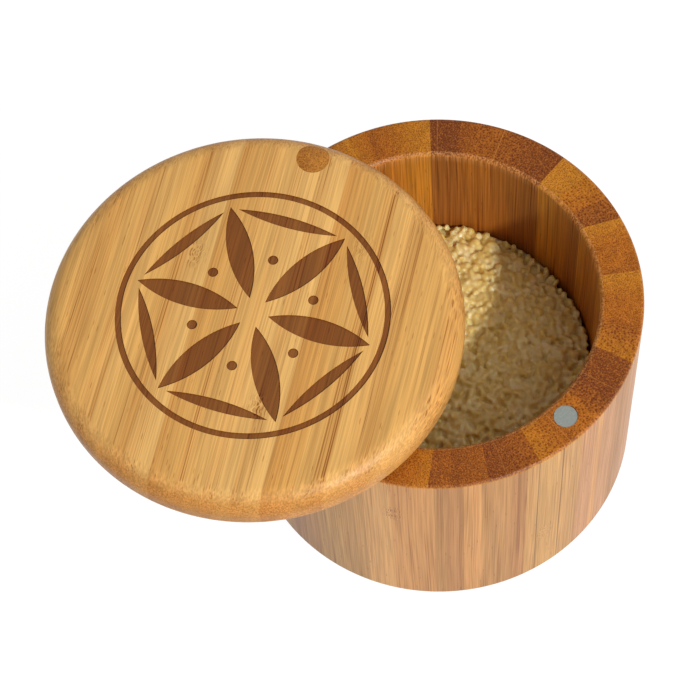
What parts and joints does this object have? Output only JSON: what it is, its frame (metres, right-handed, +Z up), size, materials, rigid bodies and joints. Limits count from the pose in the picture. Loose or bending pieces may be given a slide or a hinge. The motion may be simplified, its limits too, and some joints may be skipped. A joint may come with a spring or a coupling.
{
  "type": "salt box with swivel lid",
  "caption": "Small round salt box of glued bamboo with a flat rounded lid that swivels sideways on an upright screw and is held shut by magnets.",
  "frame": {"origin": "centre of the body's flat underside", "axes": "+Z up along the body's axis; the rim magnet is at -Y and the pivot screw at +Y; +X is to the right, seen from the magnet side. At rest the lid is swung 60 degrees open over the -X side"},
  "size_m": [0.1227, 0.1084, 0.0711],
  "materials": {
    "stave_bamboo": "oiled bamboo, fibres upright, end grain on the rim",
    "floor_bamboo": "oiled bamboo, fibres level",
    "lid_bamboo": "oiled bamboo, fibres level, with a laser-burnt ornament",
    "plug_bamboo": "oiled bamboo, end grain up",
    "screw_steel": "zinc-plated steel",
    "magnet_nickel": "nickel-plated magnet, satin",
    "coarse_salt": "loose coarse crystals, matte to glittering"
  },
  "bodies": {
    "box": {"stave_1": "stave_bamboo", "stave_2": "stave_bamboo", "stave_3": "stave_bamboo", "stave_4": "stave_bamboo", "stave_5": "stave_bamboo", "stave_6": "stave_bamboo", "stave_7": "stave_bamboo", "stave_8": "stave_bamboo", "stave_9": "stave_bamboo", "stave_10": "stave_bamboo", "stave_11": "stave_bamboo", "stave_12": "stave_bamboo", "stave_13": "stave_bamboo", "stave_14": "stave_bamboo", "stave_15": "stave_bamboo", "stave_16": "stave_bamboo", "stave_17": "stave_bamboo", "stave_18": "stave_bamboo", "floor_strip_1": "floor_bamboo", "floor_strip_2": "floor_bamboo", "floor_strip_3": "floor_bamboo", "floor_strip_4": "floor_bamboo", "floor_strip_5": "floor_bamboo", "floor_strip_6": "floor_bamboo", "floor_strip_7": "floor_bamboo", "floor_strip_8": "floor_bamboo", "floor_strip_9": "floor_bamboo", "floor_strip_10": "floor_bamboo", "floor_strip_11": "floor_bamboo", "floor_strip_12": "floor_bamboo", "floor_strip_13": "floor_bamboo", "pivot_screw": "screw_steel", "body_magnet": "magnet_nickel", "salt": "coarse_salt"},
    "lid": {"lid_strip_1": "lid_bamboo", "lid_strip_2": "lid_bamboo", "lid_strip_3": "lid_bamboo", "lid_strip_4": "lid_bamboo", "lid_strip_5": "lid_bamboo", "lid_strip_6": "lid_bamboo", "lid_strip_7": "lid_bamboo", "lid_strip_8": "lid_bamboo", "lid_strip_9": "lid_bamboo", "lid_strip_10": "lid_bamboo", "lid_strip_11": "lid_bamboo", "lid_strip_12": "lid_bamboo", "lid_strip_13": "lid_bamboo", "lid_strip_14": "lid_bamboo", "lid_strip_15": "lid_bamboo", "lid_strip_16": "lid_bamboo", "pivot_plug": "plug_bamboo", "lid_magnet": "magnet_nickel"}
  },
  "joints": [
    {"name": "lid_swivel", "type": "hinge", "parent": "box", "child": "lid", "pos_m": [0, 0.03905, 0.0616], "axis": [0, 0, 1], "range_deg": [-300, 60]}
  ]
}
